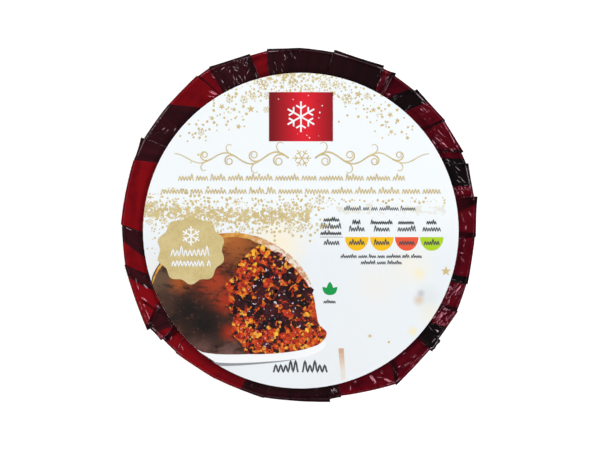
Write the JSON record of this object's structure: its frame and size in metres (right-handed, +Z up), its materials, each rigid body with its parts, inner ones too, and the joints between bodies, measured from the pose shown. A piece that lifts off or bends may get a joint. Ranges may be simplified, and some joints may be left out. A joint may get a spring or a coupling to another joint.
{
  "type": "film-wrapped christmas pudding",
  "caption": "Christmas pudding in a tapered round basin, shut in glossy striped film that is pleated over the rim, with a round printed label on top.",
  "frame": {"origin": "the middle of the flat base, on the surface that the pudding stands on", "axes": "+Z up through the label, +Y towards the top edge of the label's print, +X to its right"},
  "size_m": [0.1303, 0.1296, 0.0666],
  "materials": {
    "film": "glossy striped red and near-black wrapping film, creased at the pleats",
    "label_paper": "smooth satin coated paper, cool white with a printed picture and gold ornament"
  },
  "bodies": {
    "root": {"wrap": "film", "label": "label_paper"}
  },
  "joints": []
}
